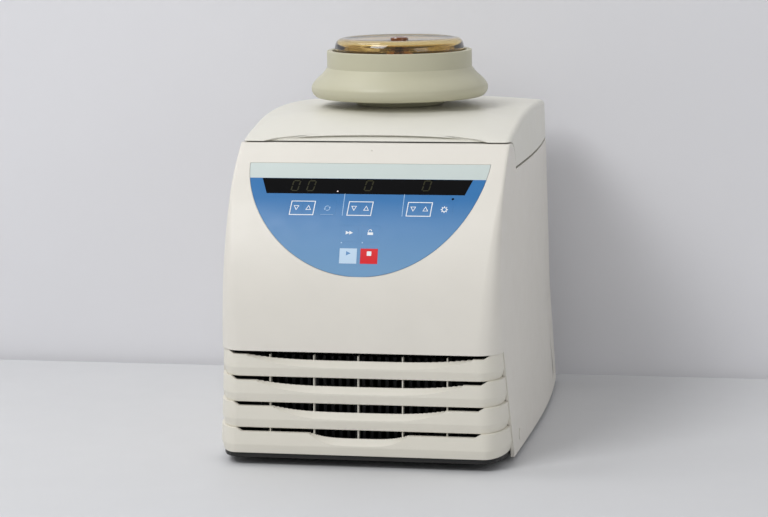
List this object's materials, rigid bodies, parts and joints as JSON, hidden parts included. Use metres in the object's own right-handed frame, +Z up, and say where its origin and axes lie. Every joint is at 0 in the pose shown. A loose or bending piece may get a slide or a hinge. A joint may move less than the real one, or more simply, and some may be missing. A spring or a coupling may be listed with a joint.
{
  "type": "refrigerated microcentrifuge",
  "caption": "Bench centrifuge with raked front, half-moon touch panel, louvre grille and hinged lid, its angle rotor with clear amber lid standing on top.",
  "frame": {"origin": "on the bench under the middle of the cabinet", "axes": "+Z up, the front with the grille and panel faces -Y, +X is the right side seen from the front"},
  "size_m": [0.2928, 0.4492, 0.4013],
  "materials": {
    "cream_shell": "fine-textured moulded cream plastic",
    "lid_shell": "fine-textured moulded cream plastic",
    "grille_shell": "fine-textured moulded cream plastic",
    "grey_liner": "vacuum-formed grey plastic",
    "black_steel": "black powder-coated steel",
    "zinc_steel": "zinc-plated sheet and bar",
    "stainless": "drawn and turned stainless steel",
    "rubber": "moulded black rubber",
    "foam": "foamed-in-place insulation",
    "copper": "drawn copper tube",
    "aluminium_fins": "stacked aluminium fins",
    "black_plastic": "moulded black plastic",
    "motor_paint": "dark painted motor case",
    "panel_blue": "printed blue film",
    "display_black": "dark glossy display window",
    "key_blue": "printed blue film keys",
    "key_pale": "printed pale blue film key",
    "key_red": "printed red film key",
    "board_green": "green circuit board",
    "rotor_grey": "hard-coated grey-green aluminium",
    "brass": "turned bronze hub",
    "amber": "clear amber plastic",
    "knob_brown": "polished brown plastic"
  },
  "bodies": {
    "cabinet": {"front_housing": "cream_shell", "rear_panel": "cream_shell", "louvre_grille": "grille_shell", "top_deck": "grey_liner", "base_pan": "black_steel", "compressor": "black_steel", "chassis_frame": "zinc_steel", "armour_ring": "zinc_steel", "hinge_bracket_left": "zinc_steel", "hinge_bracket_right": "zinc_steel", "latch_case": "zinc_steel", "chamber_bowl": "stainless", "hinge_rod": "stainless", "foot_front_left": "rubber", "foot_front_right": "rubber", "foot_rear_left": "rubber", "foot_rear_right": "rubber", "chamber_gasket": "rubber", "motor_buffer_1": "rubber", "motor_buffer_2": "rubber", "motor_buffer_3": "rubber", "chamber_insulation": "foam", "evaporator_coil": "copper", "refrigerant_pipe": "copper", "condenser": "aluminium_fins", "fan_shroud": "black_plastic", "power_inlet": "black_plastic", "motor": "motor_paint", "fan_motor": "motor_paint", "control_overlay": "panel_blue", "display_window": "display_black", "display_board": "board_green", "power_board": "board_green"},
    "lid": {"lid_cover": "lid_shell", "lid_liner": "grey_liner", "lid_striker": "stainless", "hinge_arm_left": "zinc_steel", "hinge_arm_right": "zinc_steel"},
    "rotor": {"rotor_body": "rotor_grey", "rotor_hub": "brass"},
    "rotor_cap": {"rotor_lid": "amber", "rotor_lid_seal": "rubber"},
    "knob": {"rotor_lid_knob": "knob_brown"},
    "spindle": {"drive_spindle": "stainless"},
    "fan": {"condenser_fan": "black_plastic"},
    "rocker": {"power_switch": "black_plastic"},
    "latch": {"latch_hook": "stainless"},
    "plug": {"release_plug": "cream_shell"},
    "speed_down_key": {"speed_down_key": "key_blue"},
    "speed_up_key": {"speed_up_key": "key_blue"},
    "unit_key": {"unit_key": "key_blue"},
    "time_down_key": {"time_down_key": "key_blue"},
    "time_up_key": {"time_up_key": "key_blue"},
    "temperature_down_key": {"temperature_down_key": "key_blue"},
    "temperature_up_key": {"temperature_up_key": "key_blue"},
    "precool_key": {"precool_key": "key_blue"},
    "pulse_key": {"pulse_key": "key_blue"},
    "open_key": {"open_key": "key_blue"},
    "start_key": {"start_key": "key_pale"},
    "stop_key": {"stop_key": "key_red"}
  },
  "joints": [
    {"name": "lid_hinge", "type": "hinge", "parent": "cabinet", "child": "lid", "pos_m": [0, 0.218, 0.279], "axis": [-1, 0, 0], "range_deg": [0, 75]},
    {"name": "rotor_lift", "type": "slide", "parent": "lid", "child": "rotor", "axis": [0, 0, 1], "range_m": [0, 0.09]},
    {"name": "rotor_lid_lift", "type": "slide", "parent": "rotor", "child": "rotor_cap", "axis": [0, 0, 1], "range_m": [0, 0.035]},
    {"name": "knob_turn", "type": "hinge", "parent": "rotor_cap", "child": "knob", "pos_m": [0, 0.018, 0.39], "axis": [0, 0, 1], "range_deg": [0, 90]},
    {"name": "spindle_spin", "type": "hinge", "parent": "cabinet", "child": "spindle", "pos_m": [0, 0.022, 0.2], "axis": [0, 0, 1], "continuous": true},
    {"name": "fan_spin", "type": "hinge", "parent": "cabinet", "child": "fan", "pos_m": [0, -0.157, 0.06], "axis": [0, 1, 0], "continuous": true},
    {"name": "switch_rock", "type": "hinge", "parent": "cabinet", "child": "rocker", "pos_m": [-0.04, 0.2145, 0.06], "axis": [-1, 0, 0], "range_deg": [0, 14]},
    {"name": "latch_swing", "type": "hinge", "parent": "cabinet", "child": "latch", "pos_m": [0, -0.0959, 0.2366], "axis": [1, 0, 0], "range_deg": [0, 11]},
    {"name": "plug_pull", "type": "slide", "parent": "cabinet", "child": "plug", "axis": [1, 0, 0], "range_m": [0, 0.012]},
    {"name": "speed_down_key_press", "type": "slide", "parent": "cabinet", "child": "speed_down_key", "axis": [0, 0.8299, -0.5579], "range_m": [0, 0.0004], "stiffness_N_per_m": 2500},
    {"name": "speed_up_key_press", "type": "slide", "parent": "cabinet", "child": "speed_up_key", "axis": [0, 0.8299, -0.5579], "range_m": [0, 0.0004], "stiffness_N_per_m": 2500},
    {"name": "unit_key_press", "type": "slide", "parent": "cabinet", "child": "unit_key", "axis": [0, 0.8299, -0.5579], "range_m": [0, 0.0004], "stiffness_N_per_m": 2500},
    {"name": "time_down_key_press", "type": "slide", "parent": "cabinet", "child": "time_down_key", "axis": [0, 0.8299, -0.5579], "range_m": [0, 0.0004], "stiffness_N_per_m": 2500},
    {"name": "time_up_key_press", "type": "slide", "parent": "cabinet", "child": "time_up_key", "axis": [0, 0.8299, -0.5579], "range_m": [0, 0.0004], "stiffness_N_per_m": 2500},
    {"name": "temperature_down_key_press", "type": "slide", "parent": "cabinet", "child": "temperature_down_key", "axis": [0, 0.8299, -0.5579], "range_m": [0, 0.0004], "stiffness_N_per_m": 2500},
    {"name": "temperature_up_key_press", "type": "slide", "parent": "cabinet", "child": "temperature_up_key", "axis": [0, 0.8299, -0.5579], "range_m": [0, 0.0004], "stiffness_N_per_m": 2500},
    {"name": "precool_key_press", "type": "slide", "parent": "cabinet", "child": "precool_key", "axis": [0, 0.8299, -0.5579], "range_m": [0, 0.0004], "stiffness_N_per_m": 2500},
    {"name": "pulse_key_press", "type": "slide", "parent": "cabinet", "child": "pulse_key", "axis": [0, 0.8894, -0.4572], "range_m": [0, 0.0004], "stiffness_N_per_m": 2500},
    {"name": "open_key_press", "type": "slide", "parent": "cabinet", "child": "open_key", "axis": [0, 0.8894, -0.4572], "range_m": [0, 0.0004], "stiffness_N_per_m": 2500},
    {"name": "start_key_press", "type": "slide", "parent": "cabinet", "child": "start_key", "axis": [0, 0.9294, -0.3691], "range_m": [0, 0.0004], "stiffness_N_per_m": 2500},
    {"name": "stop_key_press", "type": "slide", "parent": "cabinet", "child": "stop_key", "axis": [0, 0.9294, -0.3691], "range_m": [0, 0.0004], "stiffness_N_per_m": 2500}
  ]
}
